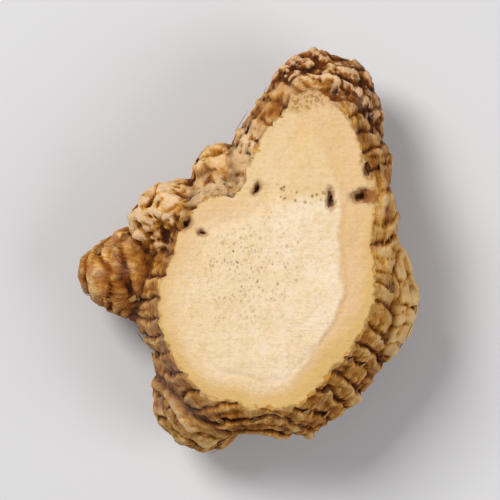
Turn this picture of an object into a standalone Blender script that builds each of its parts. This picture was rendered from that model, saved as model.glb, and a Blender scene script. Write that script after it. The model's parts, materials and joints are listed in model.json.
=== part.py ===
"""Half of a dried sand ginger root, lying on its skin with the knife cut facing up.

The root is one grown piece: a fat ringed body, a neck that grew on from its waist, the neck's blunt
tip, the stub of a side shoot, and a few knobs. One knife cut took its top off.
It is built as it grew: ringed lobes swell until they run into each other, then the knife takes the
top, the drying tray flattens the underside, and cracks open where two lobes meet on the cut.

Lobes, stumps and cracks are measured in millimetres; the mesh is in metres.
Frame: +Z up, +Y from the body to the neck, origin on the table under the body's middle.
"""

from dataclasses import dataclass
from math import pi

import bmesh
import bpy
import numpy as np
from mathutils import Vector

MM = 0.001

# The knife cut is a plane: its height over the origin, and how it climbs towards +X and +Y.
CUT_HEIGHT = 13.6
CUT_CLIMB_X = 0.06
CUT_CLIMB_Y = -0.03

# Growth rings: three rows of points in each ring make a groove, a lip and a slope.
ROWS_PER_RING = 3
RING_ROW_HEIGHTS = np.array((-1.0, 0.75, 0.25))
RING_WANDER = 0.11
RING_UNEVENNESS = 0.28

# Slow swellings that every lobe has, because the root shrank unevenly as it dried.
SWELL_HEIGHT = 0.7
SWELL_LENGTH = 9.5

# Where lobes meet, the crease between them is filled this softly, and no further than the limit.
CREASE_SOFTNESS = 0.9
CREASE_LIMIT = 1.5

# Skin is searched for in steps along a ray, and no nearer the middle than this share of the egg.
SEARCH_STEPS = 12
NEAREST_SHARE = 0.7

# Under a neighbour, a lobe's skin sinks by this share of how far the neighbour overtakes it,
# and no further than the limit, so that the two lobes still overlap.
SINK = 0.6
SINK_LIMIT = 1.1

# A stump and a crack are small round forms with this many sides and rows.
STUMP_SIDES = 8
CRACK_SIDES = 8
SMALL_ROWS = 6

# Cutters reach this far past the root on every side.
CUTTER_REACH = 60.0


@dataclass(frozen=True)
class Lobe:
    """One swelling of the root: an egg with rings round its axis of growth."""

    name: str
    middle: tuple
    side: float
    length: float
    grows: tuple
    rings: int
    around: int
    ring_depth: float
    belly: float = 1.0


BODY = Lobe("ginger_root", (-0.9, 0.0, 7.0), 11.4, 11.7, (0.10, 1.0, 0.0), 19, 52, 0.38, 0.67)
WAIST = Lobe("waist", (4.9, 6.2, 9.5), 5.8, 6.6, (0.05, 1.0, 0.0), 10, 26, 0.28)
NECK = Lobe("neck", (2.9, 12.8, 9.0), 7.0, 7.3, (0.12, 1.0, 0.05), 12, 34, 0.28)
TIP = Lobe("tip", (4.3, 17.2, 7.4), 5.2, 5.6, (0.10, 1.0, -0.25), 9, 26, 0.26)
STUB = Lobe("stub", (-12.2, 2.9, 5.6), 3.8, 5.8, (-1.0, 0.10, -0.12), 9, 20, 0.24)
SHOULDER = Lobe("shoulder", (-9.2, 7.2, 8.4), 3.4, 4.4, (-0.7, 0.7, 0.25), 6, 17, 0.18)
KNOB = Lobe("knob", (-4.3, 11.1, 8.9), 2.8, 3.6, (-0.5, 0.85, 0.3), 5, 15, 0.16)
HEEL = Lobe("heel", (-6.2, -7.8, 6.2), 4.5, 5.4, (-0.6, -0.8, 0.0), 7, 19, 0.22)
FLANK = Lobe("flank", (7.8, 1.8, 7.3), 4.4, 7.0, (0.15, -1.0, -0.1), 9, 22, 0.28)
LOBES = (BODY, WAIST, NECK, TIP, STUB, SHOULDER, KNOB, HEEL, FLANK)


@dataclass(frozen=True)
class Stump:
    """What is left of a thin side root: a low button on the skin of a lobe."""

    lobe: Lobe
    points: tuple
    width: float
    height: float


STUMPS = (
    Stump(FLANK, (1.0, -0.25, 0.10), 1.7, 0.40),
    Stump(BODY, (0.8, -0.55, -0.35), 1.5, 0.40),
    Stump(NECK, (1.0, 0.05, -0.35), 1.4, 0.35),
    Stump(BODY, (0.35, -1.0, 0.1), 1.6, 0.40),
    Stump(BODY, (0.0, -1.0, -0.35), 1.3, 0.35),
    Stump(BODY, (-0.90, -0.50, -0.25), 1.5, 0.40),
    Stump(SHOULDER, (-0.5, 0.6, -0.9), 1.4, 0.35),
    Stump(NECK, (-1.0, 0.4, -0.5), 1.3, 0.35),
    Stump(TIP, (0.5, 0.8, -0.5), 1.2, 0.30),
)


@dataclass(frozen=True)
class Crack:
    """A small hollow in the cut, where drying pulled two lobes apart."""

    place: tuple
    width: float
    length: float
    depth: float
    turn: float


CRACKS = (
    Crack((4.8, 9.6), 0.55, 1.5, 1.3, 0.1),
    Crack((-1.9, 10.6), 0.55, 1.1, 1.0, -0.5),
    Crack((7.5, 9.9), 1.4, 0.8, 1.3, 0.2),
    Crack((8.2, 12.4), 0.7, 1.7, 1.0, 0.1),
    Crack((-8.4, 7.4), 1.2, 0.9, 1.1, 0.6),
    Crack((-6.8, 6.6), 0.8, 0.5, 0.8, -0.4),
)


def clear_scene():
    """Removes the objects that a new file starts with."""
    for thing in list(bpy.data.objects):
        bpy.data.objects.remove(thing)


def finish(name, colour, roughness):
    """A Principled material in one plain colour."""
    material = bpy.data.materials.new(name)
    material.use_nodes = True
    shader = material.node_tree.nodes["Principled BSDF"]
    shader.inputs["Base Color"].default_value = (*colour, 1.0)
    shader.inputs["Roughness"].default_value = roughness
    shader.inputs["Metallic"].default_value = 0.0
    return material


def place_object(name, builder, as_cutter):
    """Turns a bmesh into a named object. A cutter is drawn as wire and isn't part of the model."""
    bmesh.ops.recalc_face_normals(builder, faces=builder.faces)
    mesh = bpy.data.meshes.new(name)
    builder.to_mesh(mesh)
    builder.free()
    thing = bpy.data.objects.new(name, mesh)
    bpy.context.scene.collection.objects.link(thing)
    if as_cutter:
        thing.hide_render = True
        thing.display_type = "WIRE"
    return thing


def lobe_axes(lobe):
    """Rows are the egg's own axes in the frame: two sideways, then the axis of growth."""
    turn = Vector((0, 0, 1)).rotation_difference(Vector(lobe.grows).normalized())
    return np.array(turn.to_matrix()).T


def distance_to_lobe(points, lobe):
    """How far points are from an egg, to first order, in mm: below 0 inside."""
    offset = points - np.array(lobe.middle)
    squash = np.where(offset[:, 2] < 0, lobe.belly, 1.0)
    offset[:, 2] /= squash
    axes = lobe_axes(lobe)
    radii = np.array((lobe.side, lobe.side, lobe.length))
    share_vector = offset @ axes.T / radii
    share = np.linalg.norm(share_vector, axis=1)
    growth = (share_vector / radii / share[:, None]) @ axes
    growth[:, 2] /= squash
    return (share - 1) / np.linalg.norm(growth, axis=1)


def swell(points):
    """Height of the slow swellings: the mean of three crossed sine waves."""
    x, y, z = (points / SWELL_LENGTH * 2 * pi).T
    waves = np.sin(x + 0.8 * np.sin(y)) + np.sin(0.9 * y + 1.7 + 0.6 * np.sin(z))
    return SWELL_HEIGHT * (waves + np.sin(1.1 * z + 0.5 * x + 0.9)) / 3


def distance_to_root(points):
    """How far points are from all eggs together, with their creases filled and their swellings on."""
    apart = np.stack([distance_to_lobe(points, lobe) for lobe in LOBES])
    nearest = apart.min(axis=0)
    gathered = np.exp(-(apart - nearest) / CREASE_SOFTNESS).sum(axis=0)
    return nearest - CREASE_SOFTNESS * np.log(gathered) - swell(points)


def egg_rays(lobe, slant, turn):
    """Unit vectors from the egg's middle to its surface, and their lengths."""
    level = np.sin(slant)
    unit = np.stack([level * np.cos(turn), level * np.sin(turn), np.cos(slant)], axis=1)
    egg = unit * (lobe.side, lobe.side, lobe.length) @ lobe_axes(lobe)
    egg[:, 2] *= np.where(egg[:, 2] < 0, lobe.belly, 1.0)
    reach = np.linalg.norm(egg, axis=1)
    return egg / reach[:, None], reach


def skin_reach(lobe, ways, egg_reach):
    """Lengths of rays that end on the root's skin, or just under it where another lobe is over them."""
    middle = np.array(lobe.middle)
    reach = egg_reach
    for _ in range(SEARCH_STEPS):
        left = distance_to_root(middle + ways * reach[:, None])
        reach = np.clip(reach - left, NEAREST_SHARE * egg_reach, egg_reach + CREASE_LIMIT)
    points = middle + ways * reach[:, None]
    others = np.stack([distance_to_lobe(points, other) for other in LOBES if other is not lobe])
    overtaken = distance_to_lobe(points, lobe) - others.min(axis=0)
    return reach - np.clip(SINK * overtaken, 0, SINK_LIMIT)


def ring_height(row, turn, lobe):
    """Height of the ring rows over the egg: a groove, then a lip, then a slope, uneven all round."""
    waves = np.sin(3 * turn + 2.1 * (row // ROWS_PER_RING))
    evenness = 1 - RING_UNEVENNESS + RING_UNEVENNESS * waves
    return lobe.ring_depth * RING_ROW_HEIGHTS[row % ROWS_PER_RING] * evenness


def grow_lobe(lobe, as_cutter=True):
    """A sphere with its poles on the axis of growth, grown out to the skin and ringed row by row."""
    rows = lobe.rings * ROWS_PER_RING
    builder = bmesh.new()
    bmesh.ops.create_uvsphere(builder, u_segments=lobe.around, v_segments=rows, radius=1.0)
    x, y, z = np.array([vertex.co for vertex in builder.verts]).T
    slant = np.arccos(np.clip(z, -1, 1))
    turn = np.arctan2(y, x)
    row = np.rint(slant / pi * rows).astype(int)
    wander = RING_WANDER * np.sin(slant) * np.sin(2 * turn + 0.4 * lobe.rings)
    ways, egg_reach = egg_rays(lobe, slant + wander, turn)
    reach = skin_reach(lobe, ways, egg_reach) + ring_height(row, turn, lobe) * np.sin(slant)
    points = (np.array(lobe.middle) + ways * reach[:, None]) * MM
    for vertex, point in zip(builder.verts, points):
        vertex.co = point
    return place_object(lobe.name, builder, as_cutter)


def make_pip(name, sides, half):
    """A small ball stretched to the given half sizes, in mm, to be joined to the root or taken away."""
    builder = bmesh.new()
    bmesh.ops.create_uvsphere(builder, u_segments=sides, v_segments=SMALL_ROWS, radius=1.0)
    bmesh.ops.scale(builder, verts=builder.verts, vec=Vector(half) * MM)
    return place_object(name, builder, as_cutter=True)


def make_stump(number, stump):
    """A flattened ball on the skin, half sunk, which faces the way that the side root grew."""
    way = np.array([Vector(stump.points).normalized()])
    reach = skin_reach(stump.lobe, way, np.array([stump.lobe.side]))
    thing = make_pip(f"stump_{number}", STUMP_SIDES, (stump.width / 2, stump.width / 2, stump.height))
    thing.location = (np.array(stump.lobe.middle) + way[0] * reach[0]) * MM
    thing.rotation_mode = "QUATERNION"
    thing.rotation_quaternion = Vector((0, 0, 1)).rotation_difference(Vector(stump.points))
    return thing


def cut_height_at(x, y):
    """Height of the knife's plane over a point of the table, in mm."""
    return CUT_HEIGHT + CUT_CLIMB_X * x + CUT_CLIMB_Y * y


def make_knife():
    """A block whose lower face is the plane of the cut."""
    builder = bmesh.new()
    bmesh.ops.create_cube(builder, size=2 * CUTTER_REACH)
    for vertex in builder.verts:
        if vertex.co.z < 0:
            vertex.co.z = cut_height_at(vertex.co.x, vertex.co.y)
        vertex.co *= MM
    return place_object("knife", builder, as_cutter=True)


def make_tray():
    """A block whose upper face is the table, at height 0."""
    builder = bmesh.new()
    bmesh.ops.create_cube(builder, size=2 * CUTTER_REACH * MM)
    bmesh.ops.translate(builder, verts=builder.verts, vec=(0, 0, -CUTTER_REACH * MM))
    return place_object("tray", builder, as_cutter=True)


def make_crack(number, crack):
    """A long pip that stands half out of the cut, to be taken away from the root."""
    x, y = crack.place
    thing = make_pip(f"crack_{number}", CRACK_SIDES, (crack.width / 2, crack.length / 2, crack.depth))
    thing.location = Vector((x, y, cut_height_at(x, y))) * MM
    thing.rotation_euler.z = crack.turn
    return thing


def add_boolean(root, other, operation):
    """Joins other to the root, or takes it away, with a live modifier."""
    modifier = root.modifiers.new(other.name, "BOOLEAN")
    modifier.operation = operation
    modifier.solver = "EXACT"
    modifier.object = other


def make_root():
    """The whole root: the body with every lobe joined to it, then cut, flattened and cracked."""
    root = grow_lobe(BODY, as_cutter=False)
    for lobe in LOBES[1:]:
        add_boolean(root, grow_lobe(lobe), "UNION")
    for number, stump in enumerate(STUMPS, start=1):
        add_boolean(root, make_stump(number, stump), "UNION")
    add_boolean(root, make_knife(), "DIFFERENCE")
    add_boolean(root, make_tray(), "DIFFERENCE")
    for number, crack in enumerate(CRACKS, start=1):
        add_boolean(root, make_crack(number, crack), "DIFFERENCE")
    root.data.materials.append(finish("root skin", (0.33, 0.18, 0.08), 0.85))
    return root


def main():
    clear_scene()
    make_root()


main()
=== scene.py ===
# %% [markdown]
# A dried sand ginger root, halved with a knife
#
# One closed mesh carries the grown thing: brown, ringed, wrinkled skin all round and a pale, mealy cut
# on top. Thin scales and loose fibres lie on its skin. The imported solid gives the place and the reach,
# and the same lobes grow again here, finely enough for rings, wrinkles and a crumbly edge.

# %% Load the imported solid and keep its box
import json
from collections import namedtuple
from itertools import product
from math import pi, radians

import bpy
import numpy as np
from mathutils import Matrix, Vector

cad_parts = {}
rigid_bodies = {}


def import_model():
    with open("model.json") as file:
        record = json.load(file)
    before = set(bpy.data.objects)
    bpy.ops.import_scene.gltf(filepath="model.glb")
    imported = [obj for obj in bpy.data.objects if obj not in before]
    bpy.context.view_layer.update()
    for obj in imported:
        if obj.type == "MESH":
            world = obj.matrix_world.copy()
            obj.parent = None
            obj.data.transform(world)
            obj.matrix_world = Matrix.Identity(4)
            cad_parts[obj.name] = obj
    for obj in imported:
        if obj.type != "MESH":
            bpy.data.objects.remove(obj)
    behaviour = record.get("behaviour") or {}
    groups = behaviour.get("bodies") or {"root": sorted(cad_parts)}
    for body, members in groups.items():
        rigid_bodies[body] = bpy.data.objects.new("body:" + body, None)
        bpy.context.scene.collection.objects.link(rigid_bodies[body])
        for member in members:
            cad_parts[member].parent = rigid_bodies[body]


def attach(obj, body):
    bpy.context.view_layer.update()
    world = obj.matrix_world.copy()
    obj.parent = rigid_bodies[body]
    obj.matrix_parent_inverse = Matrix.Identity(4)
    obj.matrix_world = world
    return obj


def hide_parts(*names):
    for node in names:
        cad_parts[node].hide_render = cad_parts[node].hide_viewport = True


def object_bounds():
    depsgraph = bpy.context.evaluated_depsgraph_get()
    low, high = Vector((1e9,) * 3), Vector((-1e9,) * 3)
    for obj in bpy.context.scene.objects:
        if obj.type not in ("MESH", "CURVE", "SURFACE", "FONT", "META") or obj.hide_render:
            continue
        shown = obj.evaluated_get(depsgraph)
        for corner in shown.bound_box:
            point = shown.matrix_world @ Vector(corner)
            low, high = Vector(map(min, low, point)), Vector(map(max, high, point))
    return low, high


MM = 0.001
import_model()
cad_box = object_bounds()
print("solid's box in mm:", [[round(value / MM, 2) for value in corner] for corner in cad_box])

# %% [markdown]
# Camera and light
#
# The camera looks straight down, with the neck towards the top of the picture. A wide lamp high on the
# left comes in at a slant, so that each ring throws a little shade. A weaker lamp on the right and a
# pale room fill it in.

# %% Camera straight above the root
VIEW_WIDTH = 45.0 * MM
CAMERA_HEIGHT = 420.0 * MM
NEAREST_SEEN = 10 * MM
SENSOR = 36.0


def put(name, data, place=(0, 0, 0)):
    """A named object in the scene for a camera, a lamp or a mesh, at a place in metres."""
    thing = bpy.data.objects.new(name, data)
    thing.location = place
    bpy.context.scene.collection.objects.link(thing)
    return thing


def add_camera(low, high):
    """A camera over the middle of the box; its lens makes VIEW_WIDTH of the cut fill the frame."""
    camera = bpy.data.cameras.new("camera")
    camera.sensor_width = SENSOR
    camera.lens = SENSOR * (CAMERA_HEIGHT - high[2]) / VIEW_WIDTH
    camera.clip_start = NEAREST_SEEN
    middle = ((low[0] + high[0]) / 2, (low[1] + high[1]) / 2, CAMERA_HEIGHT)
    bpy.context.scene.camera = put("camera", camera, middle)
    return camera.lens


print("lens in mm:", round(add_camera(*cad_box), 1))

# %% Lamps, pale room and floor
Lamp = namedtuple("Lamp", "place side power colour")
LAMPS = {
    "main lamp": Lamp((-0.27, 0.26, 0.44), 0.22, 2.55, (1.0, 0.98, 0.94)),
    "fill lamp": Lamp((0.42, -0.12, 0.38), 0.36, 1.15, (1.0, 0.98, 0.96)),
}
FLOOR_SIDE = 6.0
FLOOR_COLOUR, FLOOR_ROUGHNESS = (0.74, 0.74, 0.76), 0.9
ROOM_COLOUR, ROOM_STRENGTH = (0.93, 0.95, 1.0), 0.24


def add_lamp(name, lamp):
    """A square area lamp at its place in metres, turned to face the root."""
    light = bpy.data.lights.new(name, "AREA")
    light.size = lamp.side
    light.energy = lamp.power
    light.color = lamp.colour
    facing = (-Vector(lamp.place)).to_track_quat("-Z", "Y")
    put(name, light, lamp.place).rotation_euler = facing.to_euler()


def add_room():
    """The room's own light, and a plain pale floor under the root."""
    room = bpy.data.worlds.new("room")
    room.use_nodes = True
    sockets = room.node_tree.nodes["Background"].inputs
    sockets["Color"].default_value = (*ROOM_COLOUR, 1)
    sockets["Strength"].default_value = ROOM_STRENGTH
    bpy.context.scene.world = room
    bpy.ops.mesh.primitive_plane_add(size=FLOOR_SIDE, location=(0, 0, 0))
    floor = bpy.context.object
    floor.name = "floor"
    paint = bpy.data.materials.new("floor")
    paint.use_nodes = True
    sockets = paint.node_tree.nodes["Principled BSDF"].inputs
    sockets["Base Color"].default_value = (*FLOOR_COLOUR, 1)
    sockets["Roughness"].default_value = FLOOR_ROUGHNESS
    floor.data.materials.append(paint)


for name, lamp in LAMPS.items():
    add_lamp(name, lamp)
add_room()
bpy.context.scene.view_settings.view_transform = "Standard"

# %% [markdown]
# The lobes
#
# A rhizome grows as a chain of fat eggs, each ringed by the scars of its old leaves. The same eggs stand
# in the part's own source, in mm. An egg's rings run round its axis of growth like lines of latitude:
# the slant is the angle from the growing pole, and each equal step of it is one ring. Belly squashes
# the lower half. The last five numbers say how rough, wrinkled, red, torn and pale a lobe's skin is.
# Pale also holds painted light: high on the flank, as if lit, and low on the body, as painted shade.

# %% Names and sizes of the lobes, as in the solid
Lobe = namedtuple("Lobe", "middle side length grows rings depth belly rough wrinkled warm torn pale")
ALONG = (0.10, 1.0, 0.0)
LOBES = {
    "body": Lobe((-0.9, 0.0, 7.0), 11.4, 11.7, ALONG, 19, 0.38, 0.67, 1.0, 0.12, 0.35, 0.0, -0.10),
    "waist": Lobe((4.9, 6.2, 9.5), 5.8, 6.6, (0.05, 1, 0), 10, 0.28, 1, 1.1, 0.16, 0.2, 0.1, 0.05),
    "neck": Lobe((2.9, 12.8, 9.0), 7.0, 7.3, (0.12, 1, 0.05), 12, 0.28, 1, 1.1, 0.12, 0.5, 0.2, -0.09),
    "tip": Lobe((4.3, 17.2, 7.4), 5.2, 5.6, (0.10, 1, -0.25), 9, 0.26, 1, 1.5, 0.14, 0.5, 0.8, -0.18),
    "stub": Lobe((-12.2, 2.9, 5.6), 3.8, 5.8, (-1, 0.10, -0.12), 9, 0.24, 1, 1.2, 0.1, 0.95, 0.1, -0.03),
    "shoulder": Lobe((-9.2, 7.2, 8.4), 3.4, 4.4, (-0.7, 0.7, 0.25), 6, 0.18, 1, 1.7, 0.15, 0.5, 0.9, 0.09),
    "knob": Lobe((-4.3, 11.1, 8.9), 2.8, 3.6, (-0.5, 0.85, 0.3), 5, 0.16, 1, 1.5, 0.10, 0.1, 0.45, -0.02),
    "heel": Lobe((-6.2, -7.8, 6.2), 4.5, 5.4, (-0.6, -0.8, 0), 7, 0.22, 1, 1.2, 0.14, 0.2, 0.15, 0.02),
    "flank": Lobe((7.8, 1.8, 7.3), 4.4, 7.0, (0.15, -1, -0.1), 9, 0.28, 1, 1.2, 0.26, 0.15, 0.1, 0.20),
}
SWELL_HEIGHT, SWELL_LENGTH = 0.7, 9.5
CREASE_SOFTNESS = 0.9
TINY = 1e-9
print("lobes:", ", ".join(LOBES))

# %% [markdown]
# How far a point is from the root
#
# The skin lies where the distance to the nearest egg is 0. A soft minimum of the eggs' distances rounds
# the creases where they meet, and slow waves swell the root here and there.

# %% Distance to one egg, and to all of them together


def lobe_axes(lobe):
    """Rows are the egg's own axes in the frame: two sideways, then the axis of growth."""
    turn = Vector((0, 0, 1)).rotation_difference(Vector(lobe.grows).normalized())
    return np.array(turn.to_matrix()).T


def into_lobe(points, lobe):
    """Points in the egg's own axes, where its surface is 1 from its middle, and the squash used."""
    offset = points - np.array(lobe.middle)
    squash = np.where(offset[..., 2] < 0, lobe.belly, 1.0)
    offset[..., 2] /= squash
    return offset @ lobe_axes(lobe).T / (lobe.side, lobe.side, lobe.length), squash


def distance_to_lobe(points, lobe):
    """First-order distance: (share of the egg's radius less 1) over how fast that share grows."""
    share_vector, squash = into_lobe(points, lobe)
    share = np.linalg.norm(share_vector, axis=-1) + TINY
    growth = share_vector / (lobe.side, lobe.side, lobe.length) / share[..., None] @ lobe_axes(lobe)
    growth[..., 2] /= squash
    return (share - 1) / np.linalg.norm(growth, axis=-1)


def swell(points):
    """Height of the slow swellings: the mean of three crossed sine waves, in mm."""
    x, y, z = np.moveaxis(points / SWELL_LENGTH * 2 * pi, -1, 0)
    waves = np.sin(x + 0.8 * np.sin(y)) + np.sin(0.9 * y + 1.7 + 0.6 * np.sin(z))
    return SWELL_HEIGHT * (waves + np.sin(1.1 * z + 0.5 * x + 0.9)) / 3


def distance_to_root(points):
    """Soft minimum, minus log of the sum of exp(-distance), less the swelling; and each distance."""
    apart = np.stack([distance_to_lobe(points, lobe) for lobe in LOBES.values()])
    nearest = apart.min(axis=0)
    gathered = np.exp(-(apart - nearest) / CREASE_SOFTNESS).sum(axis=0)
    return nearest - CREASE_SOFTNESS * np.log(gathered) - swell(points), apart


core = np.array(LOBES["body"].middle)
print("from the body's middle to the skin:", -distance_to_root(core[None])[0].round(1), "mm")

# %% [markdown]
# A grid of rays
#
# The skin is a function of two numbers: the way round, in columns, and the slope of a ray from the
# body's middle, in rows. Each ray is walked inwards from far outside until it meets the skin. Columns
# are spaced by equal steps along the root's outline, so that the thin neck gets its share.

# %% Walk every ray in to the skin
COLUMNS, RAY_ROWS = 440, 460
HIGHEST_RAY = radians(62)
FAR_OUT, CLOSE_IN = 27.0, 2.0
STEPS_IN, STEP_SHARE = 24, 0.92
TRIALS_PER_COLUMN = 4


def rays(bearing, slope):
    """Unit vectors for a bearing round +Z and a slope above the level."""
    level = np.cos(slope)
    return np.stack([np.cos(bearing) * level, np.sin(bearing) * level, np.sin(slope)], axis=-1)


def walk_in(ways):
    """Where rays from the body's middle meet the skin: step in by most of the distance left."""
    reach = np.full(ways.shape[:-1], FAR_OUT)
    for _ in range(STEPS_IN):
        left, _ = distance_to_root(core + ways * reach[..., None])
        reach = np.clip(reach - STEP_SHARE * left, CLOSE_IN, FAR_OUT)
    return core + ways * reach[..., None]


def even_bearings(count):
    """Bearings that cut the level outline of the root into equal lengths."""
    trial = np.linspace(-pi, pi, TRIALS_PER_COLUMN * count + 1)
    outline = walk_in(rays(trial, np.zeros_like(trial)))
    run = np.concatenate([[0], np.cumsum(np.linalg.norm(np.diff(outline, axis=0), axis=1))])
    return np.interp(np.arange(count) / count * run[-1], run, trial)


slope = np.linspace(HIGHEST_RAY, -pi / 2, RAY_ROWS)
bearing_grid, slope_grid = np.meshgrid(even_bearings(COLUMNS), slope, indexing="ij")
base = walk_in(rays(bearing_grid, slope_grid))
print("smooth skin:", base.shape[0], "columns by", base.shape[1], "rows")

# %% [markdown]
# Rough numbers that repeat
#
# Wrinkles and lumps need chance that comes out the same on every run. Each corner of a lattice gets a
# number from its own coordinates, and a point between the corners blends them smoothly. A bell on that
# noise's zero lines gives thin creases, and layers of it with their own lengths add up to lumps.

# %% Lattice noise for whole arrays, and two curves
MIX_X, MIX_Y, MIX_Z, MIX_SEED, MIX_AGAIN = 374761393, 668265263, 1440662683, 69069, 1274126177
BITS_31, BITS_16 = 0x7FFFFFFF, 0xFFFF
Layer = namedtuple("Layer", "long high seed")


def lattice_noise(points, seed=0):
    """Blend of the eight lattice corners round each point, from -1 to 1, by an S-shaped weight."""
    corner = np.floor(points).astype(np.int64)
    part = points - corner
    weight = part**3 * (part * (part * 6 - 15) + 10)
    total = np.zeros(points.shape[:-1])
    for step in product((0, 1), repeat=3):
        x, y, z = np.moveaxis(corner + np.array(step), -1, 0)
        mixed = (x * MIX_X + y * MIX_Y + z * MIX_Z + seed * MIX_SEED) & BITS_31
        mixed = ((mixed ^ (mixed >> 13)) * MIX_AGAIN) & BITS_31
        value = ((mixed ^ (mixed >> 16)) & BITS_16) / (BITS_16 / 2) - 1
        total += value * np.prod(np.where(step, weight, 1 - weight), axis=-1)
    return total


def layers_of_noise(points, layers):
    """Sum of layers of noise, each with a length in mm, a height and a seed."""
    return sum(layer.high * lattice_noise(points / layer.long, layer.seed) for layer in layers)


def bell(value, width):
    """1 where the value is 0, falling to 0 about a width away from it."""
    return np.exp(-((value / width) ** 2))


def smooth_step(low, high, value):
    """0 below low, 1 above high, and an S-shaped rise between them."""
    share = np.clip((value - low) / (high - low), 0, 1)
    return share * share * (3 - 2 * share)


trial = lattice_noise(base[::8, ::8] / 2)
print("noise spreads from", round(trial.min(), 2), "to", round(trial.max(), 2))

# %% [markdown]
# Growth rings
#
# Each old leaf left a thin groove all round, a raised lip behind it and a band that falls away to the
# next groove. No ring runs true, so the count of rings at a point gets some slow noise before its whole
# number and its remainder are used. Drying made folds along the growth and sharp creases round it, by
# noise stretched along and round each lobe.

# %% Height of the growth rings and of the wrinkles
RING_WANDER = 0.11
RING_JITTER = (Layer(2.6, 0.30, 3), Layer(0.8, 0.14, 4))
AFTER_GROOVE, BEFORE_GROOVE = 0.10, 0.07
LIP_PLACE, LIP_WIDTH = 0.24, 0.12
LIP, BAND, GROOVE, RIPPLE = 0.80, 0.45, 1.25, 0.10
EVEN_PART, UNEVEN_PART = 0.70, 0.30
NARROWEST = 0.35
FOLDS = ((1.5, 6.0, 1.0), (0.62, 3.2, 0.42))
FOLD_LEVEL, FOLD_FALL, FOLD_SEED = 0.7, 2.2, 20
CREASE_ROUND, CREASE_ALONG, CREASE_WIDTH, CREASE_DEPTH = 4.2, 1.15, 0.13, 0.15


def ring_profile(slant, turn, lobe, jitter):
    """A groove at each whole count, a lip behind it and a slope to the next, uneven all round."""
    wander = RING_WANDER * np.sin(slant) * np.sin(2 * turn + 0.4 * lobe.rings)
    phase = (slant - wander) / pi * lobe.rings + jitter
    ring = np.floor(phase)
    part = phase - ring
    groove = bell(part, AFTER_GROOVE) + bell(1 - part, BEFORE_GROOVE)
    lip = bell(part - LIP_PLACE, LIP_WIDTH)
    evenness = EVEN_PART + UNEVEN_PART * np.sin(3 * turn + 2.1 * ring)
    height = evenness * (LIP * lip + BAND * np.sin(pi * part) - GROOVE * groove)
    return lobe.depth * (height + RIPPLE * np.sin(6 * pi * phase)), groove * evenness


def growth_place(points, lobe):
    """In mm: side times cosine and sine of the turn round a lobe, and length times slant."""
    local, _ = into_lobe(points, lobe)
    local /= np.linalg.norm(local, axis=-1, keepdims=True) + TINY
    slant = np.arccos(np.clip(local[..., 2], -1, 1))
    turn = np.arctan2(local[..., 1], local[..., 0])
    level = lobe.side * (NARROWEST + (1 - NARROWEST) * np.sin(slant))
    place = np.stack([level * np.cos(turn), level * np.sin(turn), lobe.length * slant], axis=-1)
    return slant, turn, place


def wrinkle_height(place, seed):
    """Folds along the growth, as sharp ridges on the noise's zero lines, and creases round it."""
    folds = np.zeros(place.shape[:-1])
    for round_by, along_by, height in FOLDS:
        noise = lattice_noise(place / (round_by, round_by, along_by), seed)
        folds += height * (FOLD_LEVEL - FOLD_FALL * np.abs(noise))
    across = lattice_noise(place / (CREASE_ROUND, CREASE_ROUND, CREASE_ALONG), seed + 1)
    return folds, bell(across, CREASE_WIDTH)


def rings_and_wrinkles(points, shares):
    """Every lobe's rings, folds, creases and growth place, blended by its share in a point."""
    jitter = layers_of_noise(points, RING_JITTER)
    totals, growth = np.zeros((4, *points.shape[:-1])), np.zeros_like(points)
    for number, (lobe, share) in enumerate(zip(LOBES.values(), shares)):
        slant, turn, place = growth_place(points, lobe)
        height, groove = ring_profile(slant, turn, lobe, jitter)
        folds, across = wrinkle_height(place, FOLD_SEED + 2 * number)
        totals += share * np.stack([height, groove, lobe.wrinkled * folds, across])
        growth += share[..., None] * place
    return *totals, growth


print("ring pitch on the body:", round(pi * LOBES["body"].length / LOBES["body"].rings, 2), "mm")

# %% [markdown]
# Buttons where side roots were
#
# Thin side roots snapped off. Each left a low round button with a hollow in its middle and a faint moat
# round it, where a ray from its lobe's middle leaves the skin.

# %% Place the buttons and give their height
Stump = namedtuple("Stump", "lobe way width height")
STUMPS = (
    Stump("flank", (1.0, -0.25, 0.10), 1.7, 0.40),
    Stump("body", (0.8, -0.55, -0.35), 1.5, 0.40),
    Stump("neck", (1.0, 0.05, -0.35), 1.4, 0.35),
    Stump("body", (0.35, -1.0, 0.1), 1.6, 0.40),
    Stump("body", (0.0, -1.0, -0.35), 1.3, 0.35),
    Stump("body", (-0.90, -0.50, -0.25), 1.5, 0.40),
    Stump("shoulder", (-0.5, 0.6, -0.9), 1.4, 0.35),
    Stump("neck", (-1.0, 0.4, -0.5), 1.3, 0.35),
    Stump("tip", (0.5, 0.8, -0.5), 1.2, 0.30),
)
RIM_INSIDE, RIM_OUTSIDE = 0.72, 1.25
PIT_WIDTH, PIT_DEPTH = 0.42, 0.75
MOAT_PLACE, MOAT_WIDTH, MOAT_DEPTH, MOAT_PAINTED_SHADE = 1.3, 0.2, 0.25, 0.6


def stump_places():
    """Where each stump's ray leaves the skin: step out by the distance left."""
    middles = np.array([LOBES[stump.lobe].middle for stump in STUMPS])
    ways = np.array([Vector(stump.way).normalized() for stump in STUMPS])
    reach = np.array([LOBES[stump.lobe].side for stump in STUMPS])
    for _ in range(STEPS_IN):
        left, _ = distance_to_root(middles + ways * reach[:, None])
        reach = reach - left
    return middles + ways * reach[:, None]


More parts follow.
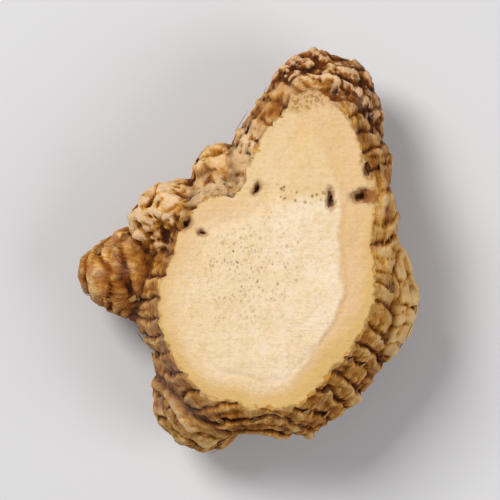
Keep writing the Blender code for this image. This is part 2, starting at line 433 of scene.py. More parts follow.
def stump_relief(points, places):
    """Height of round buttons with hollow middles, and how hollow each point is, from 0 to 1."""
    height, hollow = np.zeros(points.shape[:-1]), np.zeros(points.shape[:-1])
    for stump, place in zip(STUMPS, places):
        away = np.linalg.norm(points - place, axis=-1) / (stump.width / 2)
        button = 1 - smooth_step(RIM_INSIDE, RIM_OUTSIDE, away)
        pit, moat = bell(away, PIT_WIDTH), bell(away - MOAT_PLACE, MOAT_WIDTH)
        height += stump.height * (button - PIT_DEPTH * pit - MOAT_DEPTH * moat)
        # the moat's share of hollow later darkens the skin's colour as painted shade
        hollow += pit + MOAT_PAINTED_SHADE * moat
    return height, hollow


places = stump_places()
print("buttons at heights in mm:", places[:, 2].round(1))

# %% [markdown]
# All the relief together
#
# Rings, wrinkles, lumps and buttons add up, less torn pits and a crevice wherever two lobes are equally
# near. The knife shaved the relief near the cut and peeled the skin in two places left of the neck.
# The colour darkens the skin as painted shade where it is lower than its surroundings, and lightens it
# as painted highlight where it is higher, so the height less its blurred copy is kept as a field for
# the colour, beside fields for how grooved, red, pale or torn each point is.

# %% Add up the relief and displace the skin
CUT_HEIGHT, CUT_CLIMB_X, CUT_CLIMB_Y = 13.6, 0.06, -0.03
LUMPS = (Layer(3.4, 0.26, 68), Layer(1.7, 0.12, 34), Layer(0.8, 0.06, 16))
TORN_PITS = (Layer(1.3, 0.8, 9), Layer(0.6, 0.6, 9))
TORN_SHIFT, TORN_SEEDS = 0.7, (61, 62, 63)
TORN_START, TORN_FULL, TORN_DEPTH = 0.10, 0.55, 0.30
PEELS = (((-2.6, 13.6), (1.7, 3.4)), ((-6.0, 10.4), (2.2, 1.5)))
PEEL_DOWN, PEEL_TORN = 2.8, 0.8
LOBE_SOFTNESS = 0.30
SHAVED_DOWN = 3.0
FINE_AT_CUT, FINE_FROM, FINE_FULL = 0.65, -0.3, 1.2
CREVICE_WIDTH, CREVICE_DEPTH = 0.5, 0.30
BLUR_COLUMNS, BLUR_ROWS = 3, 10
LEAST_LENGTH = 1e-12


def cut_height(x, y):
    """Height of the knife's plane over a point of the table, in mm."""
    return CUT_HEIGHT + CUT_CLIMB_X * x + CUT_CLIMB_Y * y


def below_cut(points):
    """How far below the knife's plane each point lies, in mm."""
    return cut_height(points[..., 0], points[..., 1]) - points[..., 2]


def peeled(points, under_cut):
    """1 where the knife peeled the skin: in an ellipse seen from above, not far below the cut."""
    away = [(((points[..., :2] - middle) / half) ** 2).sum(axis=-1) for middle, half in PEELS]
    inside = np.clip(sum(bell(square, 1) for square in away), 0, 1)
    return inside * smooth_step(PEEL_DOWN, 0.5 * PEEL_DOWN, under_cut)


def bell_blur(values, reach, axis=0, span=2):
    """Bell-weighted mean of a grid's neighbours along one axis, which wraps round."""
    steps = np.arange(-span * reach, span * reach + 1)
    weights = bell(steps, reach)
    return sum(w * np.roll(values, s, axis=axis) for s, w in zip(steps, weights)) / weights.sum()


def skin_relief(points, apart):
    """The relief's height in mm, and the fields that colour follows."""
    nearest = np.sort(apart, axis=0)
    shares = np.exp(-(apart - nearest[0]) / LOBE_SOFTNESS)
    shares /= shares.sum(axis=0)

    def by_lobe(quality):
        return np.tensordot([getattr(lobe, quality) for lobe in LOBES.values()], shares, axes=1)

    rings, grooves, wrinkles, creases, growth = rings_and_wrinkles(points, shares)
    under_cut = below_cut(points)
    rings *= smooth_step(-SHAVED_DOWN, SHAVED_DOWN, under_cut)
    fine = by_lobe("rough") * (layers_of_noise(points, LUMPS) - CREASE_DEPTH * creases) + wrinkles
    fine *= FINE_AT_CUT + (1 - FINE_AT_CUT) * smooth_step(FINE_FROM, FINE_FULL, under_cut)
    bare = peeled(points, under_cut)
    torn = np.maximum(by_lobe("torn"), PEEL_TORN * bare)
    shift = TORN_SHIFT * np.stack([lattice_noise(points / TORN_SHIFT, seed) for seed in TORN_SEEDS], axis=-1)
    pits = torn * smooth_step(TORN_START, TORN_FULL, layers_of_noise(points + shift, TORN_PITS))
    buttons, hollows = stump_relief(points, places)
    crevice = np.exp(-(nearest[1] - nearest[0]) / CREVICE_WIDTH) * smooth_step(0.0, SHAVED_DOWN, under_cut)
    height = rings + fine + buttons - CREVICE_DEPTH * crevice - TORN_DEPTH * pits
    cavity = height - bell_blur(bell_blur(height, BLUR_COLUMNS), BLUR_ROWS, 1)
    round_x, round_y, along = np.moveaxis(growth, -1, 0)
    return {"relief": height, "cavity": cavity, "groove": grooves, "crevice": crevice,
            "hollow": hollows + pits, "warm": by_lobe("warm"), "torn": torn, "bare": bare,
            "pale": by_lobe("pale"), "round_x": round_x, "round_y": round_y, "along": along}


def grid_normals(points):
    """Outward normals of the ray grid: down the rows crossed with across the columns."""
    across = np.roll(points, -1, axis=0) - np.roll(points, 1, axis=0)
    normal = np.cross(np.gradient(points, axis=1), across)
    normal /= np.linalg.norm(normal, axis=-1, keepdims=True) + LEAST_LENGTH
    normal[:, -1] = (0, 0, -1)
    return normal


fields = skin_relief(base, distance_to_root(base)[1])
normals = grid_normals(base)
print("normals point outwards on", round(((normals * (base - core)).sum(-1) > 0).mean() * 100), "%")
skin = base + normals * fields["relief"][..., None]
print("relief from", fields["relief"].min().round(2), "to", fields["relief"].max().round(2), "mm")

# %% [markdown]
# The tray and the knife
#
# The root dried on a tray, which pressed the underside flat. Then the knife took the top off in one
# plane. In each column the row where the wrinkled skin passes through that plane is the edge, so rings
# and creases scallop the cut's outline. The rows below are spread along the skin, closer at the cut.

# %% Press the underside and cut the top
SKIN_ROWS = 166
ROW_CROWDING = 1.08
PRESS_SOFTNESS = 0.12


def press(points):
    """The soft maximum of each height and 0: softness times log of (1 + exp(height / softness))."""
    pressed = points.copy()
    pressed[..., 2] = PRESS_SOFTNESS * np.logaddexp(0, points[..., 2] / PRESS_SOFTNESS)
    return pressed


def cut_and_spread(points, fields, count):
    """Columns cut where they last pass down through the plane, then sampled along their length."""
    over = -below_cut(points)
    row = points.shape[1] - 1 - np.argmax(over[:, ::-1] > 0, axis=1)
    column = np.arange(len(points))
    share = over[column, row] / (over[column, row] - over[column, row + 1])
    length = np.zeros(points.shape[:2])
    length[:, 1:] = np.cumsum(np.linalg.norm(np.diff(points, axis=1), axis=2), axis=1)
    start = length[column, row] + share * (length[column, row + 1] - length[column, row])
    along = start[:, None] + np.linspace(0, 1, count) ** ROW_CROWDING * (length[:, -1] - start)[:, None]
    apart_by = 2 * length.max() * column[:, None]

    def sample(values):
        return np.interp((along + apart_by).ravel(), (length + apart_by).ravel(), values.ravel())

    shape = (len(points), count)
    spread = np.stack([sample(points[..., axis]).reshape(shape) for axis in range(3)], axis=-1)
    return spread, {name: sample(values).reshape(shape) for name, values in fields.items()}


skin, fields = cut_and_spread(press(skin), fields, SKIN_ROWS)
edge = skin[:, 0].copy()
print("cut is", np.ptp(edge[:, 0]).round(1), "by", np.ptp(edge[:, 1]).round(1), "mm")

# %% [markdown]
# The cut face
#
# Starch dries into a pale, slightly domed face, with a faint ring between its middle and the rind. The
# face is the edge drawn in towards the middle, row by row. The edge's teeth would cross each other on
# the way in, so rows soon turn from the edge to a blurred copy of it. Cracks opened where lobes part,
# as in the solid.

# %% Rows of the cut, and cracks in it
FACE_ROWS, FACE_CROWDING = 57, 1.3
ENDODERMIS, RING_WIDTH, RING_DEPTH = 2.6, 0.25, 0.09
DOME = ((0.06, 0, 0.4), (0.30, 0.8, 5.5))
CUT_GRAIN = (Layer(1.1, 0.04, 5), Layer(3.0, 0.07, 6))
EDGE_FADE = 0.35
CALM_REACH, CALM_BY = 7, 0.07
RAGGED_SIZE, RAGGED_BY, RAGGED_SEEDS = 0.5, 0.28, (41, 42)
CRACK_NARROWS, CRACK_STEEPNESS = 3.0, 1.5
Crack = namedtuple("Crack", "place width length depth turn")
CRACKS = (
    Crack((4.8, 9.6), 0.55, 1.5, 1.3, 0.1),
    Crack((-1.9, 10.6), 0.55, 1.1, 1.0, -0.5),
    Crack((7.5, 9.9), 1.4, 0.8, 1.3, 0.2),
    Crack((8.2, 12.4), 0.7, 1.7, 1.0, 0.1),
    Crack((-8.4, 7.4), 1.2, 0.9, 1.1, 0.6),
    Crack((-6.8, 6.6), 0.8, 0.5, 0.8, -0.4),
)


def depth_in(points, outline):
    """Distance of each point from the nearest point of the outline, seen from above, in mm."""
    flat = points[..., :2].reshape(-1, 2)
    nearest = np.full(len(flat), np.inf)
    for corner in outline[:, :2]:
        nearest = np.minimum(nearest, np.hypot(*(flat - corner).T))
    return nearest.reshape(points.shape[:-1])


def crack_depth(x, y):
    """Sum of the cracks: each a dimple in its own turned ellipse, on a place moved by noise."""
    depth = np.zeros_like(x)
    place = np.stack([x, y, np.zeros_like(x)], axis=-1) / RAGGED_SIZE
    ragged = [RAGGED_BY * lattice_noise(place, seed) for seed in RAGGED_SEEDS]
    for crack in CRACKS:
        c, s = np.cos(crack.turn), np.sin(crack.turn)
        dx, dy = x + ragged[0] - crack.place[0], y + ragged[1] - crack.place[1]
        across, along = (c * dx + s * dy) / crack.width, (c * dy - s * dx) / crack.length
        depth += crack.depth * np.exp(-((CRACK_NARROWS * (across**2 + along**2)) ** CRACK_STEEPNESS))
    return depth


def make_face(outline):
    """The edge drawn in by shares from 1 to 0 on the knife's plane, domed, ringed and cracked."""
    share = 1 - np.linspace(0, 1, FACE_ROWS)[1:-1] ** FACE_CROWDING
    calm = bell_blur(outline, CALM_REACH, span=3)
    calmness = smooth_step(0, CALM_BY, 1 - share)[None, :, None]
    face = (outline[:, None] * (1 - calmness) + calm[:, None] * calmness) * share[None, :, None]
    inward = depth_in(face, calm)
    x, y = face[..., 0], face[..., 1]
    dome = sum(high * smooth_step(start, end, inward) for high, start, end in DOME)
    ring = RING_DEPTH * bell(inward - ENDODERMIS, RING_WIDTH)
    grain = layers_of_noise(face, CUT_GRAIN)
    fade = smooth_step(0, EDGE_FADE, inward)
    face[..., 2] = cut_height(x, y) + dome - ring + fade * (grain - crack_depth(x, y))
    return face, inward


face, inward = make_face(edge)
print("cut face:", face.shape[0] * face.shape[1], "points, deepest", inward.max().round(1), "mm in")

# %% [markdown]
# One closed mesh
#
# The face's rows run out to the edge, and the skin's rows carry on from there to the middle of the
# underside, so one grid covers the root, closed with a single point at each end. Every field goes into
# the mesh as an attribute, for the colours to follow.

# %% Stack the grids and write the mesh


def closed_grid(rows, top, bottom):
    """Points and faces of a grid of columns by rows that wraps round, and a fan at each end."""
    columns, count = rows.shape[:2]
    points = np.concatenate([rows.reshape(-1, 3), [top, bottom]])
    index = np.arange(columns * count).reshape(columns, count)
    right = np.roll(index, -1, axis=0)
    quads = np.stack([index[:, :-1], index[:, 1:], right[:, 1:], right[:, :-1]], axis=-1)
    top_fan = np.stack([np.full(columns, len(points) - 2), index[:, 0], right[:, 0]], axis=-1)
    bottom_fan = np.stack([np.full(columns, len(points) - 1), right[:, -1], index[:, -1]], axis=-1)
    return points, quads.reshape(-1, 4), np.concatenate([top_fan, bottom_fan])


def write_mesh(name, points, quads, fans, attributes):
    """A named object in metres with smooth faces and one number per point for each attribute."""
    mesh = bpy.data.meshes.new(name)
    mesh.from_pydata((points * MM).tolist(), [], quads.tolist() + fans.tolist())
    mesh.shade_smooth()
    for attribute_name, values in attributes.items():
        attribute = mesh.attributes.new(attribute_name, "FLOAT", "POINT")
        attribute.data.foreach_set("value", values.astype(np.float32))
    return put(name, mesh)


def join_rows(on_face, on_skin):
    """One value per mesh point: the face's rows from the middle out, the skin's rows, two ends."""
    rows = np.concatenate([on_face[:, ::-1], on_skin[:, :-1]], axis=1)
    return np.append(rows.ravel(), [on_face[:, -1].mean(), on_skin[:, -1].mean()])


rows = np.concatenate([face[:, ::-1], skin[:, :-1]], axis=1)
top = (0, 0, face[:, -1, 2].mean())
bottom = (0, 0, skin[:, -1, 2].mean())
no_face, no_skin = np.zeros(face.shape[:2]), np.zeros(skin.shape[:2])
attributes = {name: join_rows(no_face, values) for name, values in fields.items()}
attributes["flesh"] = join_rows(no_face + 1, no_skin)
attributes["inward"] = join_rows(inward, no_skin)
root = write_mesh("dried_root", *closed_grid(rows, top, bottom), attributes)
print("mesh:", len(root.data.vertices), "points,", 2 * len(root.data.polygons) - 2 * COLUMNS, "triangles")

# %% [markdown]
# Dry scales and loose fibres
#
# Old leaf scales cling to the rings as thin ragged flakes, and hair-thin fibres lie loose on the skin.
# Both are tubes, flat and wide or thin and swaying. Each is drawn on the flat sheet that touches the
# skin where it starts. Then its points slide along the slope of the distance to the root until they lie
# as high as the relief asks, so it hugs the skin like paper.

# %% Where they start, and the ways out of the skin and along it
Scrap = namedtuple("Scrap", "count sides stations length wide thick sway lift ragged")
SCALES = Scrap(120, 12, 7, (0.5, 1.3), (0.12, 0.50), 0.025, 0.10, 0.05, 0.5)
FIBRES = Scrap(110, 5, 9, (1.0, 2.4), (0.035, 0.05), 0.035, 0.22, 0.07, 0.0)
LOWEST_SCRAP, BELOW_CUT = 2.5, 1.1
LEAST_GROOVE, MOST_TORN, LEAST_ALONG = 0.55, 0.5, 0.4
BACK_FROM_GROOVE = 0.40
SLOPE_STEP = 0.05
chance = np.random.default_rng(7)


def ways_on_skin(points):
    """Unit vectors out of the skin, along the growth and across it, and the growth's share along."""
    steps = SLOPE_STEP * np.eye(3)
    rises = [distance_to_root(points + step)[0] - distance_to_root(points - step)[0] for step in steps]
    out = np.stack(rises, axis=-1)
    out /= np.linalg.norm(out, axis=-1, keepdims=True)
    nearest = np.argmin(distance_to_root(points)[1], axis=0)
    grows = np.array([Vector(lobe.grows).normalized() for lobe in LOBES.values()])[nearest]
    along = grows - out * (grows * out).sum(axis=-1, keepdims=True)
    share = np.linalg.norm(along, axis=-1)
    along /= share[:, None] + TINY
    return out, along, np.cross(along, out), share


def starts(scrap):
    """Points just behind the grooves, away from the cut, the table and the poles of the lobes."""
    fit = (fields["groove"] > LEAST_GROOVE) & (fields["torn"] < MOST_TORN)
    fit &= (skin[..., 2] > LOWEST_SCRAP) & (below_cut(skin) > BELOW_CUT)
    spots = skin[fit][chance.choice(fit.sum(), scrap.count, replace=False)]
    _, along, _, share = ways_on_skin(spots)
    return (spots - BACK_FROM_GROOVE * along)[share > LEAST_ALONG]


def relief_at(points):
    """Height of the relief in mm at points near the smooth skin."""
    return skin_relief(points[:, None], distance_to_root(points[:, None])[1])["relief"][:, 0]


print("places for scales:", len(starts(SCALES)), "and for fibres:", len(starts(FIBRES)))

# %% Lay the tubes on the skin
SETTLE_STEPS, HEADING_SPREAD = 4, 0.35
START_WIDTH, ROUND_END = 0.75, 1.02
SUNK, LEAST_CLIMB, MOST_CLIMB = 0.05, 0.05, 0.30
ROOM_UNDER_CUT = 0.15


def settle(points, height):
    """Slides points along the slope of the distance until they lie at a height over the skin."""
    flat = points.reshape(-1, 3)
    for _ in range(SETTLE_STEPS):
        out = ways_on_skin(flat)[0]
        flat = flat - out * (distance_to_root(flat)[0] - height.ravel())[:, None]
    return flat.reshape(points.shape)


def lay_scraps(scrap):
    """Rings of points for each tube: cosine of the turn across, sine of it as thickness."""
    spots = starts(scrap)
    count = len(spots)
    _, along, across, _ = ways_on_skin(spots)
    heading = chance.normal(0, HEADING_SPREAD, count)[:, None]
    along, across = (along * np.cos(heading) + across * np.sin(heading),
                     across * np.cos(heading) - along * np.sin(heading))
    length = chance.uniform(*scrap.length, count)[:, None, None]
    wide = chance.uniform(*scrap.wide, count)[:, None, None]
    turn = (2 * pi * np.arange(scrap.sides) / scrap.sides)[None, :, None]
    share = np.linspace(0, 1, scrap.stations)[None, None, :]
    torn_end = share * scrap.ragged * chance.random((count, scrap.sides, 1))
    taper = np.sqrt(np.clip(ROUND_END - share**3, 0, 1)) * (START_WIDTH + (1 - START_WIDTH) * share)
    sway = scrap.sway * np.sin(4 * share + 6 * chance.random((count, 1, 1))) * share
    aside = wide * taper * np.cos(turn) + sway * chance.normal(0, 1, (count, 1, 1))
    ahead = length * share * (1 - torn_end)
    points = spots[:, None, None] + across[:, None, None] * aside[..., None]
    points = points + along[:, None, None] * ahead[..., None]
    low = relief_at(spots)[:, None, None] - SUNK
    high = relief_at(settle(spots + along * length[:, 0], np.zeros(count)))[:, None, None]
    curl = scrap.lift * chance.random((count, 1, 1)) * share**2
    climb = np.clip(high - low, LEAST_CLIMB, MOST_CLIMB) * share
    points = settle(points, low + climb + curl + scrap.thick * taper * np.sin(turn))
    return points[below_cut(points).min(axis=(1, 2)) > ROOM_UNDER_CUT]


def write_scraps(name, scrap):
    """One mesh of many closed tubes, with a number from 0 to 1 for each that tints it."""
    tubes = lay_scraps(scrap)
    parts = [closed_grid(tube, tube[:, 0].mean(axis=0), tube[:, -1].mean(axis=0)) for tube in tubes]
    size = len(parts[0][0])
    points, *kinds = zip(*parts)
    quads, fans = (np.concatenate([faces + n * size for n, faces in enumerate(kind)]) for kind in kinds)
    tint = np.repeat(chance.random(len(parts)), size)
    return write_mesh(name, np.concatenate(points), quads, fans, {"tint": tint})


scraps = [write_scraps("dry_scales", SCALES), write_scraps("dry_fibres", FIBRES)]
print("faces of scales and fibres:", [len(thing.data.polygons) for thing in scraps])

# %% [markdown]
# A shorthand for nodes
#
# The finish is one long recipe of noises, blends and ramps, so short helpers add a node, feed it and
# return what comes out. Colours are given as they look on a screen, from 0 to 255, and an ellipse on
# the cut by its middle, its half sizes and its turn.

# %% Helpers that add nodes
SPECKS_RAGGED = 0.22


def screen(red, green, blue):
    """Linear colour of a screen colour: ((value + 0.055) / 1.055) to the power 2.4."""
    return tuple(((value / 255 + 0.055) / 1.055) ** 2.4 for value in (red, green, blue)) + (1.0,)


class Recipe:
    """The node tree of one material, with a method for each kind of step."""

    def __init__(self, name):
        self.material = bpy.data.materials.new(name)
        self.material.use_nodes = True
        self.tree = self.material.node_tree
        self.shader = self.tree.nodes["Principled BSDF"]
        inputs = {0: self.add("TexCoord", out="Object"), "Scale": 1 / MM}
        self.place = self.add("VectorMath", inputs, operation="SCALE")
        self.side, self.forth, self.height = self.add("SeparateXYZ", {0: self.place}).node.outputs

    def feed(self, node, inputs):
        """Each input of a node gets an output, a field of the mesh by its name, or a value."""
        for name, value in inputs.items():
            if isinstance(value, str):
                value = self.field(value)
            if isinstance(value, bpy.types.NodeSocket):
                self.tree.links.new(value, node.inputs[name])
            else:
                node.inputs[name].default_value = value

    def add(self, kind, inputs=None, out=0, **settings):
        """One output of a new node with its settings, fed with its inputs."""
        node = self.tree.nodes.new("ShaderNode" + kind)
        for name, value in settings.items():
            setattr(node, name, value)
        self.feed(node, inputs or {})
        return node.outputs[out]

    def field(self, name):
        """A number that the mesh carries at its points."""
        return self.add("Attribute", out="Fac", attribute_name=name)

    def sum(self, first, *parts):
        """The first number plus each part, which is a number and its factor."""
        for value, factor in parts:
            first = self.add("Math", {0: value, 1: factor, 2: first}, operation="MULTIPLY_ADD")
        return first

    def times(self, first, *others):
        """The product of some numbers, held between 0 and 1."""
        for other in others:
            first = self.add("Math", {0: first, 1: other}, operation="MULTIPLY", use_clamp=True)
        return first

    def rise(self, value, low, high, start=0.0, end=1.0):
        """An S-shaped rise from start to end, while the value goes from low to high."""
        inputs = {"Value": value, 1: low, 2: high, 3: start, 4: end}
        return self.add("MapRange", inputs, interpolation_type="SMOOTHSTEP")

    def stretched(self, place, scale, turn=0.0):
        """A place in mm, turned round +Z and then stretched by a scale for each axis."""
        return self.add("Mapping", {"Vector": place, "Rotation": (0, 0, turn), "Scale": scale})

    def noise(self, scale, detail=3.0, seed=0.0, turn=0.0, place=None):
        """Noise from 0 to 1, with features about 1 / scale mm wide along each axis or all."""
        scale = scale if isinstance(scale, tuple) else (scale, scale, scale)
        place = self.stretched(place or self.place, scale, turn)
        inputs = {"Vector": place, "W": seed, "Scale": 1.0, "Detail": detail}
        return self.add("TexNoise", inputs, noise_dimensions="4D")

    def specks(self, scale, size):
        """1 inside specks at the points of a jittered lattice, 0 between them, with ragged rims."""
        inputs = {"Vector": self.stretched(self.place, scale), "Scale": 1.0}
        away = self.add("TexVoronoi", inputs)
        away = self.sum(away, (self.noise(5.0, 2, seed=13.0), SPECKS_RAGGED))
        return self.rise(away, size + SPECKS_RAGGED / 2, 0.4 * size + SPECKS_RAGGED / 2)

    def away_from(self, x, y, half_x, half_y, turn=0.0):
        """Distance from the middle of a turned ellipse on the cut, which is 1 on its rim."""
        centred = self.add("Mapping", {"Vector": self.place, "Location": (-x, -y, 0.0)})
        inputs = {0: self.stretched(centred, (1, 1, 0), -turn), 1: (1 / half_x, 1 / half_y, 0)}
        squeezed = self.add("VectorMath", inputs, operation="MULTIPLY")
        return self.add("VectorMath", {0: squeezed}, "Value", operation="LENGTH")

    def blend(self, colour, *coats):
        """The colour with coats laid over it, each a share from 0 to 1 and its own colour."""
        for share, coat in coats:
            colour = self.add("Mix", {0: share, 6: colour, 7: coat}, 2, data_type="RGBA")
        return colour

    def ramp(self, value, stops):
        """A colour looked up by value between stops of (value, colour)."""
        looked_up = self.add("ValToRGB", {0: value})
        elements = looked_up.node.color_ramp.elements
        for place, colour in stops[1:-1]:
            elements.new(place).color = colour
        elements[0].position, elements[0].color = stops[0]
        elements[-1].position, elements[-1].color = stops[-1]
        return looked_up

    def coat(self, colour, roughness, shine, grain, strength, deep):
        """The shader gets its colour, roughness, shine and a bump of a grain so many mm deep."""
        bump = self.add("Bump", {"Height": grain, "Strength": strength, "Distance": deep * MM})
        inputs = {"Base Color": colour, "Roughness": roughness, "Specular IOR Level": shine, "Normal": bump}
        self.feed(self.shader, inputs)
        return self.material


finish = Recipe("dried root")
print("nodes to start with:", len(finish.tree.nodes))

# %% [markdown]
# Brown skin
#
# The skin's colour follows its relief: ridges are tan and lightened as painted highlight, slopes bark
# brown, and hollows are darkened as painted shade.
# Thin fibres run along the growth, by noise at each point's place round and along its lobe. The right
# flank is lightened as painted light, as if lit. Over that lie patches: red-brown where the skin is
# youngest, purple-grey where it weathered, darker low down as painted shade, cream where the knife
# peeled it, and pinkish where it tore.

# %% Colour of the skin
CREASE_DARK = screen(58, 28, 6)
SLOPE_DARK = screen(122, 68, 16)
BARK = screen(178, 117, 40)
RIDGE = screen(222, 166, 82)
RIDGE_PALE = screen(244, 204, 140)
RED_BROWN = screen(150, 76, 28)
GREY_PURPLE = screen(150, 122, 106)
TORN_PINK = screen(244, 206, 166)
PEELED = screen(232, 196, 146)
SKIN_STOPS = ((0.14, CREASE_DARK), (0.34, SLOPE_DARK), (0.54, BARK), (0.72, RIDGE), (0.92, RIDGE_PALE))
TONE = -0.55
# relief and cavity lighten ridges as painted highlight and darken hollows as painted shade; pale is each
# lobe's tone
TONE_AND_PAINTED_LIGHT_BY_FIELD = (("relief", 0.22), ("pale", 1.0), ("cavity", 1.30))
# grooves, crevices and hollows darken the skin as painted shade
PAINTED_SHADE_BY_FIELD = (("groove", -0.14), ("crevice", -0.20), ("hollow", -0.22))
PAINTED_LIGHT_ON_FLANK = (9.6, 1.5, 3.2, 5.0)
WEATHERED_SIDE = (-9.0, -4.5, 5.0, 7.0)


def fibres(paint):
    """Coarse and fine streaks: noise that is fast round a lobe and slow along it."""
    growth = paint.add("CombineXYZ", {"X": "round_x", "Y": "round_y", "Z": "along"})
    coarse = paint.noise((2.2, 2.2, 0.35), 3, seed=3.0, place=growth)
    fine = paint.noise((6.5, 6.5, 0.9), 3, seed=14.0, place=growth)
    return coarse, fine


def bark_colour(paint, coarse, fine, mottle):
    """Painted highlight on ridges, painted shade in hollows: a tone from the relief and noises, looked up in
    stops.
    """
    # painted light: the right flank is lightened as if lit
    flank = paint.rise(paint.away_from(*PAINTED_LIGHT_ON_FLANK), 1.3, 0.5)
    patches, grain = paint.noise(0.30, 3, seed=1.0), paint.noise(6.0, 4, seed=4.0)
    tone = paint.sum(TONE, *TONE_AND_PAINTED_LIGHT_BY_FIELD, (flank, 0.09), (patches, 0.56), (mottle, 0.58), (coarse, 0.54),
                     (fine, 0.48), (grain, 0.20), *PAINTED_SHADE_BY_FIELD)
    return paint.ramp(tone, SKIN_STOPS)


def skin_colour(paint, coarse, fine):
    """Bark under red and grey patches, painted shade low down, a peeled strip, and pink chips on torn lobes.
    """
    mottle = paint.noise(1.1, 5, seed=2.0)
    red = paint.times("warm", paint.rise(mottle, 0.38, 0.62, 0.0, 0.8))
    grey = paint.rise(paint.noise(0.45, 4, seed=5.0), 0.54, 0.70, 0.0, 0.32)
    weathered = paint.rise(paint.away_from(*WEATHERED_SIDE), 1.3, 0.5, 0.0, 0.55)
    grey = paint.sum(grey, (paint.times(weathered, paint.rise(coarse, 0.35, 0.60)), 1.0))
    # painted shade: the skin is darker low down, towards the table, in patches
    low_down = paint.rise(paint.height, 9.0, 1.5, 0.0, 0.45)
    painted_low_shade = paint.times(low_down, paint.rise(mottle, 0.30, 0.60))
    peel = paint.sum(paint.noise(1.1, 4, seed=20.0), ("cavity", 0.5))
    peel = paint.times("bare", paint.rise(peel, 0.34, 0.50, 0.0, 0.85))
    chips = paint.sum(paint.noise(1.3, 5, seed=6.0), ("cavity", 0.9), (coarse, 0.25))
    chips = paint.times(paint.rise(paint.height, 5.0, 11.5, 0.2, 1.0),
                        paint.rise(chips, 0.60, 0.78, 0.0, 0.95), "torn", paint.rise("hollow", 0.6, 0.0))
    return paint.blend(bark_colour(paint, coarse, fine, mottle), (red, RED_BROWN), (grey, GREY_PURPLE),
                       (painted_low_shade, SLOPE_DARK), (peel, PEELED), (chips, TORN_PINK))


skin_fibres = fibres(finish)
colour_of_skin = skin_colour(finish, *skin_fibres)
print("nodes after the skin:", len(finish.tree.nodes))

# %% [markdown]
# Cream flesh
#
# Round nearly white starch lies a band of warmer flesh, with a crisp line on the right and a soft one on
# the left, then a gold rim and thin, broken cork. The neck is warmer, and its end is torn. Strands show
# as specks of three sizes, most of them left of the middle and in a row where the neck begins. Cracks
# are darkened inside as painted shade, in brown stains, one of which runs to the skin. The grain is
# mealy, with faint knife marks.

# %% Colour of the flesh
STARCH = screen(253, 232, 202)
STARCH_WARM = screen(240, 209, 160)
OUTER_FLESH = screen(234, 193, 142)
UNDER_SKIN = screen(224, 184, 112)
CORK = screen(140, 94, 44)
RING_LINE = screen(216, 170, 126)
STRAND = screen(140, 104, 66)
STAIN = screen(160, 106, 60)
TORN_END = screen(222, 178, 130)
PAINTED_CRACK_SHADE = screen(64, 38, 16)
BAND_LEAN = -0.05
KNIFE_TURN = 0.45
SPECKLED = (-2.6, 3.4, 6.4, 5.2, 0.5)
NECK_ROW = (1.6, 10.1, 3.6, 0.8, -0.13)
RIGHT_STAIN = (8.5, 9.9, 1.5, 0.75)


def strands(paint, inward):
    """Specks left of the middle and in a row at the neck's base, with few elsewhere."""
    left = paint.rise(paint.away_from(*SPECKLED), 1.15, 0.35, 0.12, 1.0)
    row = paint.rise(paint.away_from(*NECK_ROW), 1.2, 0.7)
    clumps = paint.rise(paint.noise(0.9, 3, seed=8.0), 0.34, 0.56)
    there = paint.times(left, paint.rise(inward, 1.0, 2.0))
    fine = paint.times(paint.specks((3.1, 2.4, 3.1), 0.40), clumps, there)
    middling = paint.times(paint.specks((2.0, 1.5, 2.0), 0.33), clumps, there)
    coarse = paint.times(paint.specks((1.25, 0.95, 1.25), 0.16), there)
    at_neck = paint.times(paint.specks((1.9, 1.6, 1.9), 0.40), row)
    dots = paint.sum(paint.times(fine, 0.45), (middling, 0.62), (coarse, 0.9), (at_neck, 1.0))
    return paint.times(dots, 0.8)


def cracks(paint):
    """1 in the cracks, painted shade there, and in the brown stains round them and from the right one to the
    skin.
    """
    ragged = paint.noise(2.6, 4, seed=15.0)
    wedge = paint.sum(paint.away_from(*RIGHT_STAIN), (ragged, 1.8))
    crack_shade_mask, stain = 0.0, paint.rise(wedge, 2.2, 1.3, 0.0, 0.9)
    for crack in CRACKS:
        away = paint.away_from(*crack.place, crack.width / 2, crack.length / 2, crack.turn)
        away = paint.sum(away, (ragged, 2.2))
        crack_shade_mask = paint.sum(paint.rise(away, 2.0, 1.4), (crack_shade_mask, 1.0))
        stain = paint.sum(paint.rise(away, 3.2, 1.7, 0.0, 0.6), (stain, 1.0))
    return crack_shade_mask, stain


def bands_of_flesh(paint, inward, drift, blotch):
    """Starch in the middle, a ring line, a warmer band outside it, and a gold rim."""
    x, y = paint.side, paint.forth
    depth = paint.sum(inward, (x, BAND_LEAN), (y, BAND_LEAN), (drift, 1.6), (blotch, 1.0), (-1.3, 1.0))
    neck = paint.rise(paint.sum(y, (drift, 3.0), (blotch, 2.0)), 11.2, 13.2)
    plain, right = paint.sum(1.0, (neck, -1.0)), paint.rise(x, -2.0, 4.0)
    warmth = paint.sum(paint.rise(drift, 0.38, 0.66, 0.0, 0.40), (neck, 0.75),
                       (paint.rise(x, 1.0, -6.0, 0.0, 0.35), 1.0))
    crisp = paint.times(paint.rise(depth, ENDODERMIS + 0.25, ENDODERMIS - 0.25, 0.0, 0.85), right,
                        paint.sum(1.0, (neck, -0.35)))
    soft = paint.times(paint.rise(depth, ENDODERMIS + 1.2, ENDODERMIS - 2.2, 0.0, 0.8),
                       paint.sum(1.0, (right, -1.0)), plain)
    rim = paint.sum(inward, (blotch, 1.6), (drift, 1.6), (y, 0.09), (right, -0.6))
    line = paint.times(paint.rise(depth, ENDODERMIS - 0.45, ENDODERMIS - 0.1),
                       paint.rise(depth, ENDODERMIS + 0.35, ENDODERMIS),
                       paint.rise(paint.noise(0.5, 3, seed=11.0), 0.42, 0.62, 0.0, 0.45),
                       paint.times(plain, right))
    colour = paint.blend(STARCH, (warmth, STARCH_WARM), (paint.sum(crisp, (soft, 1.0)), OUTER_FLESH),
                         (paint.rise(rim, 3.0, 1.6, 0.0, 0.8), UNDER_SKIN), (line, RING_LINE))
    return colour, right


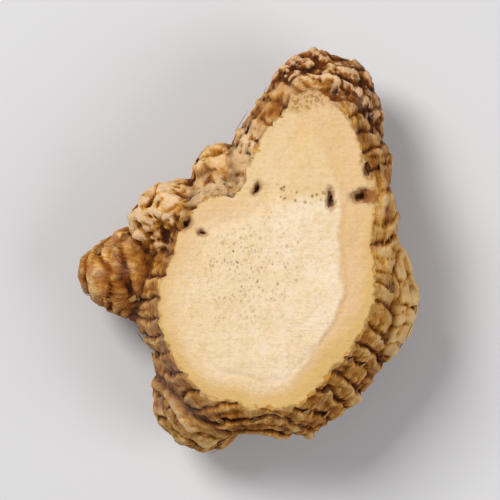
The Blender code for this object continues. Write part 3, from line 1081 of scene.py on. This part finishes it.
def flesh_colour(paint):
    """Bands of flesh under cork, a torn end, a mealy grain, strands, stains and cracks."""
    inward = paint.field("inward")
    drift = paint.noise(0.28, 2, seed=7.0)
    blotch = paint.noise(0.75, 4, seed=16.0)
    mealy = paint.noise(2.4, 6, seed=9.0)
    marks = paint.noise((0.12, 4.2, 1.0), 3, seed=17.0, turn=KNIFE_TURN)
    bands, right = bands_of_flesh(paint, inward, drift, blotch)
    corky = paint.sum(inward, (mealy, 0.5), (blotch, 1.4), (right, -0.08))
    ends = paint.sum(paint.forth, (blotch, 3.0), (mealy, 1.2))
    torn_off = paint.times(paint.rise(ends, 19.6, 20.8), paint.rise(mealy, 0.46, 0.60, 0.0, 0.9))
    grain = paint.sum(-0.04, (mealy, 0.65), (marks, 0.20), (blotch, 0.30))
    crack_shade_mask, stain = cracks(paint)
    # the cracks' dark colour is painted shade; the stains round them are the flesh's own colour
    colour = paint.blend(bands, (paint.rise(corky, 1.30, 0.90, 0.0, 0.8), CORK),
                         (paint.rise(ends, 19.2, 20.4, 0.0, 0.85), TORN_END), (torn_off, CORK),
                         (paint.rise(grain, 0.44, 0.74, 0.0, 0.50), UNDER_SKIN),
                         (strands(paint, inward), STRAND), (stain, STAIN), (crack_shade_mask, PAINTED_CRACK_SHADE))
    return colour, grain


colour_of_flesh, grain_of_flesh = flesh_colour(finish)
print("nodes after the flesh:", len(finish.tree.nodes))

# %% [markdown]
# Skin and flesh together
#
# The two colours meet at the edge of the cut, where the field "flesh" goes from 0 to 1 across one row of
# the mesh, and noise nicks that line. Both are dull, with a faint waxy shine on the skin's ridges. A
# bump gives what is too fine for the mesh: fibres and pores on the skin, meal and marks on the flesh.

# %% Join the colours, roughness and fine grain
SHINE, BUMP_STRENGTH, BUMP_DEPTH = 0.16, 0.8, 0.22


def finish_root(paint, coarse, fine):
    """Colour, roughness and grain of skin or flesh, by the field that says which is which."""
    crumbs = paint.sum("inward", (paint.noise(2.4, 4, seed=12.0), 0.8), (paint.noise(0.9, 3, seed=19.0), 3.0))
    flesh = paint.times("flesh", paint.rise(crumbs, 1.83, 1.95))
    colour = paint.blend(colour_of_skin, (flesh, colour_of_flesh))
    rough = paint.sum(paint.rise("cavity", -0.10, 0.15, 0.90, 0.64), (flesh, 0.2))
    on_skin = paint.sum(0.0, (paint.noise(5.0, 6, seed=10.0), 0.9), (fine, 0.8), (coarse, 0.8))
    on_flesh = paint.sum(0.5, (grain_of_flesh, 1.3), (paint.noise(7.0, 4, seed=18.0), 0.5))
    grain = paint.add("Mix", {0: flesh, 2: on_skin, 3: on_flesh})
    return paint.coat(colour, rough, SHINE, grain, BUMP_STRENGTH, BUMP_DEPTH)


root.data.materials.append(finish_root(finish, *skin_fibres))
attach(root, "root")
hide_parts("ginger_root")
print("finished:", root.name, "with", len(finish.tree.nodes), "nodes")

# %% [markdown]
# Finish of the scales and fibres
#
# A dry scale is thin and papery. One number for each scale or fibre picks its place between straw and
# brown, and fine noise breaks it up.

# %% Papery finish
PAPER_PALE = screen(190, 142, 78)
PAPER_BROWN = screen(104, 62, 24)
PAPER_ROUGHNESS, PAPER_SHINE, PAPER_STRENGTH, PAPER_DEPTH = 0.75, 0.2, 0.5, 0.05


def finish_scraps(paint):
    """Brown to straw by each scale's own number and a fine noise, dull, with a fine grain."""
    fine = paint.noise(5.0, 4, seed=21.0)
    tone = paint.rise(paint.sum(paint.times("tint", 0.6), (fine, 0.6)), 0.25, 0.95)
    colour = paint.blend(PAPER_BROWN, (tone, PAPER_PALE))
    return paint.coat(colour, PAPER_ROUGHNESS, PAPER_SHINE, fine, PAPER_STRENGTH, PAPER_DEPTH)


papery = finish_scraps(Recipe("dry scales"))
for thing in scraps:
    thing.data.materials.append(papery)
    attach(thing, "root")
print("finished:", [thing.name for thing in scraps])
